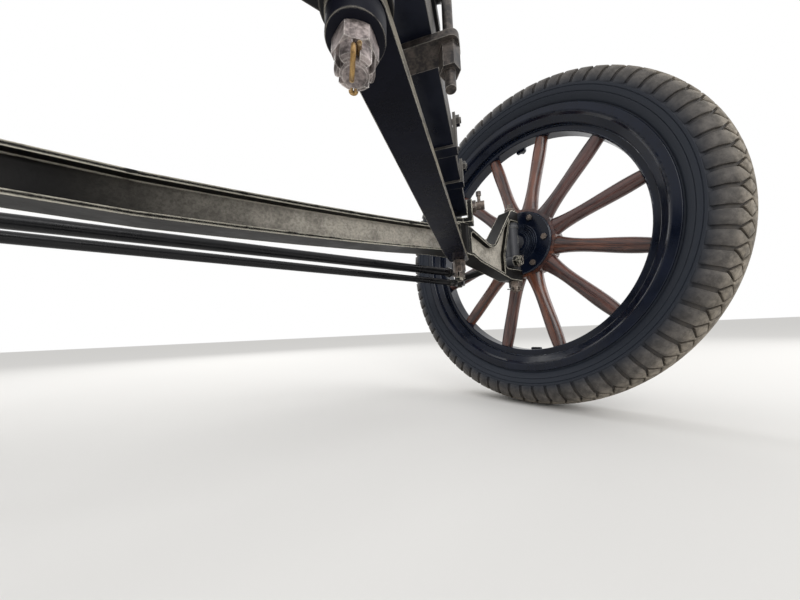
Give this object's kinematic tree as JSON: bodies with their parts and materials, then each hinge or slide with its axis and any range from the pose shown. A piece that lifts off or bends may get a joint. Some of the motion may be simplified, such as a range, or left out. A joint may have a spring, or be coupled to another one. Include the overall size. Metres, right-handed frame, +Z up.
{
  "type": "vintage car front axle with wooden spoked wheels",
  "caption": "Front axle of a vintage car: forged beam, diagonal leaf springs, straps, steering knuckles with tie rod, and wooden spoked wheels with pneumatic tyres.",
  "frame": {"origin": "middle of the frame pad, the flat top face of the front bracket, which bolts up under the car's front cross member", "axes": "+X towards the car's left side along the axle, +Y to the rear of the car, +Z up"},
  "size_m": [1.591, 0.7588, 0.7418],
  "materials": {
    "axle_paint": "worn black paint with dust",
    "chassis_paint": "black paint",
    "strap_paint": "satin black paint",
    "spring_paint": "black paint, bare at the edges",
    "rod_paint": "black paint",
    "wheel_paint": "gloss blue-black enamel",
    "bare_steel": "rusty and oily steel",
    "spoke_wood": "varnished hickory",
    "tyre_rubber": "dusty black rubber"
  },
  "bodies": {
    "axle": {"axle_beam": "axle_paint", "front_bracket": "chassis_paint", "strap_left": "strap_paint", "strap_right": "strap_paint", "main_leaf_left": "spring_paint", "main_leaf_right": "spring_paint", "short_leaves_left": "spring_paint", "short_leaves_right": "spring_paint", "leaf_clips_left": "spring_paint", "leaf_clips_right": "spring_paint", "spring_clamps_left": "bare_steel", "spring_clamps_right": "bare_steel", "spring_bolt_left": "bare_steel", "spring_bolt_right": "bare_steel", "perch_left": "axle_paint", "perch_right": "axle_paint", "perch_nut_left": "bare_steel", "perch_nut_right": "bare_steel", "strap_bolt_left": "bare_steel", "strap_bolt_right": "bare_steel", "king_bolt_left": "bare_steel", "king_bolt_right": "bare_steel"},
    "knuckle_left": {"knuckle_left": "axle_paint", "steering_arm_left": "axle_paint"},
    "wheel_left": {"hub_left": "wheel_paint", "hub_plate_left": "wheel_paint", "hub_bolts_left": "bare_steel", "hub_cap_left": "wheel_paint", "spokes_left": "spoke_wood", "felloe_left": "wheel_paint", "rim_left": "wheel_paint", "rim_lugs_left": "wheel_paint", "tyre_left": "tyre_rubber"},
    "knuckle_right": {"knuckle_right": "axle_paint", "steering_arm_right": "axle_paint"},
    "wheel_right": {"hub_right": "wheel_paint", "hub_plate_right": "wheel_paint", "hub_bolts_right": "bare_steel", "hub_cap_right": "wheel_paint", "spokes_right": "spoke_wood", "felloe_right": "wheel_paint", "rim_right": "wheel_paint", "rim_lugs_right": "wheel_paint", "tyre_right": "tyre_rubber"},
    "steering_rods": {"tie_rod": "rod_paint", "drag_link": "rod_paint"}
  },
  "joints": [
    {"name": "steer_left", "type": "hinge", "parent": "axle", "child": "knuckle_left", "pos_m": [0.665, 0.34, -0.201], "axis": [0, 0, 1], "range_deg": [-32, 32]},
    {"name": "steer_right", "type": "hinge", "parent": "axle", "child": "knuckle_right", "pos_m": [-0.665, 0.34, -0.201], "axis": [0, 0, 1], "range_deg": [-32, 32]},
    {"name": "rods_swing", "type": "hinge", "parent": "knuckle_left", "child": "steering_rods", "pos_m": [0.665, 0.51, -0.245], "axis": [0, 0, 1], "range_deg": [-32, 32]},
    {"name": "spin_left", "type": "hinge", "parent": "knuckle_left", "child": "wheel_left", "pos_m": [0.7105, 0.34, -0.1868], "axis": [0.9997, 0, -0.0262], "continuous": true},
    {"name": "spin_right", "type": "hinge", "parent": "knuckle_right", "child": "wheel_right", "pos_m": [-0.7105, 0.34, -0.1868], "axis": [-0.9997, 0, -0.0262], "continuous": true}
  ],
  "couplings": [
    {"joint": "steer_right", "follows": "steer_left", "ratio": 1},
    {"joint": "rods_swing", "follows": "steer_left", "ratio": -1}
  ]
}
